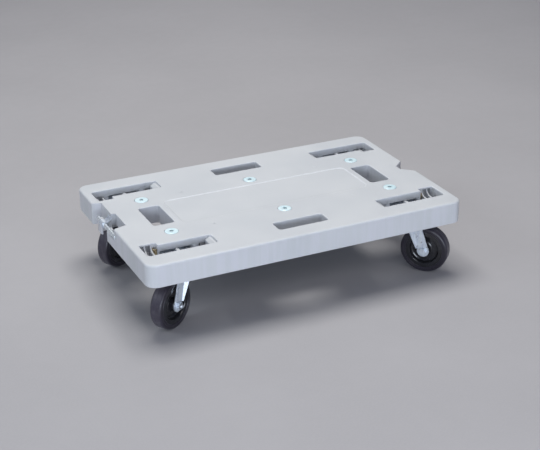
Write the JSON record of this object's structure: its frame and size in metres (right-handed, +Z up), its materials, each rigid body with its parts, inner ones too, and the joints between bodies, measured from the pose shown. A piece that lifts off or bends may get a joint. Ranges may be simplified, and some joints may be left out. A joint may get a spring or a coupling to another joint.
{
  "type": "flatbed platform truck",
  "caption": "Low plastic deck on swivel casters, with hand holes, wheel-nesting slots, a hinged coupling hook at one end and a receiving notch at the other",
  "frame": {"origin": "on the floor, under the centre of the deck", "axes": "+X along the deck, away from the coupling hook; +Y across the deck; +Z up"},
  "size_m": [0.6857, 0.4396, 0.1578],
  "materials": {
    "deck_plastic": "fine-grained moulded resin",
    "screw_steel": "bright zinc plate",
    "zinc_steel": "bright zinc plate",
    "rod_steel": "polished",
    "rail_steel": "satin",
    "ball_steel": "ground",
    "brass": "turned",
    "core_plastic": "glossy moulded",
    "bush_plastic": "smooth",
    "tread_rubber": "satin rubber"
  },
  "bodies": {
    "truck": {"deck": "deck_plastic", "hinge_rod": "rod_steel", "rail_near": "rail_steel", "rail_far": "rail_steel", "deck_screws": "screw_steel", "rail_nuts": "zinc_steel", "caster_bolts": "zinc_steel", "boss_inserts": "brass", "caster_plate_nl": "zinc_steel", "king_pin_nl": "zinc_steel", "pin_washer_nl": "zinc_steel", "caster_plate_nr": "zinc_steel", "king_pin_nr": "zinc_steel", "pin_washer_nr": "zinc_steel", "caster_plate_fl": "zinc_steel", "king_pin_fl": "zinc_steel", "pin_washer_fl": "zinc_steel", "caster_plate_fr": "zinc_steel", "king_pin_fr": "zinc_steel", "pin_washer_fr": "zinc_steel"},
    "swivel_nl": {"fork_nl": "zinc_steel", "race_balls_nl": "ball_steel", "axle_bolt_nl": "zinc_steel", "axle_nut_nl": "zinc_steel", "axle_sleeve_nl": "ball_steel"},
    "wheel_nl": {"wheel_core_nl": "core_plastic", "wheel_bush_nl": "bush_plastic", "tyre_nl": "tread_rubber"},
    "swivel_nr": {"fork_nr": "zinc_steel", "race_balls_nr": "ball_steel", "axle_bolt_nr": "zinc_steel", "axle_nut_nr": "zinc_steel", "axle_sleeve_nr": "ball_steel"},
    "wheel_nr": {"wheel_core_nr": "core_plastic", "wheel_bush_nr": "bush_plastic", "tyre_nr": "tread_rubber"},
    "swivel_fl": {"fork_fl": "zinc_steel", "race_balls_fl": "ball_steel", "axle_bolt_fl": "zinc_steel", "axle_nut_fl": "zinc_steel", "axle_sleeve_fl": "ball_steel"},
    "wheel_fl": {"wheel_core_fl": "core_plastic", "wheel_bush_fl": "bush_plastic", "tyre_fl": "tread_rubber"},
    "swivel_fr": {"fork_fr": "zinc_steel", "race_balls_fr": "ball_steel", "axle_bolt_fr": "zinc_steel", "axle_nut_fr": "zinc_steel", "axle_sleeve_fr": "ball_steel"},
    "wheel_fr": {"wheel_core_fr": "core_plastic", "wheel_bush_fr": "bush_plastic", "tyre_fr": "tread_rubber"},
    "hook": {"coupling_hook": "zinc_steel"}
  },
  "joints": [
    {"name": "swivel_nl", "type": "hinge", "parent": "truck", "child": "swivel_nl", "pos_m": [-0.252, -0.149, 0.12], "axis": [0, 0, 1], "continuous": true},
    {"name": "roll_nl", "type": "hinge", "parent": "swivel_nl", "child": "wheel_nl", "pos_m": [-0.28324, -0.16883, 0.05], "axis": [0.5358, -0.8443, 0], "continuous": true},
    {"name": "swivel_nr", "type": "hinge", "parent": "truck", "child": "swivel_nr", "pos_m": [0.252, -0.149, 0.12], "axis": [0, 0, 1], "continuous": true},
    {"name": "roll_nr", "type": "hinge", "parent": "swivel_nr", "child": "wheel_nr", "pos_m": [0.27709, -0.17619, 0.05], "axis": [0.7349, 0.6782, 0], "continuous": true},
    {"name": "swivel_fl", "type": "hinge", "parent": "truck", "child": "swivel_fl", "pos_m": [-0.252, 0.149, 0.12], "axis": [0, 0, 1], "continuous": true},
    {"name": "roll_fl", "type": "hinge", "parent": "swivel_fl", "child": "wheel_fl", "pos_m": [-0.28423, 0.13084, 0.05], "axis": [0.4909, -0.8712, 0], "continuous": true},
    {"name": "swivel_fr", "type": "hinge", "parent": "truck", "child": "swivel_fr", "pos_m": [0.252, 0.149, 0.12], "axis": [0, 0, 1], "continuous": true},
    {"name": "roll_fr", "type": "hinge", "parent": "swivel_fr", "child": "wheel_fr", "pos_m": [0.27709, 0.17619, 0.05], "axis": [-0.7349, 0.6782, 0], "continuous": true},
    {"name": "coupling_swing", "type": "hinge", "parent": "truck", "child": "hook", "pos_m": [-0.339, 0.043, 0.141], "axis": [0, -1, 0], "range_deg": [0, 140]}
  ]
}
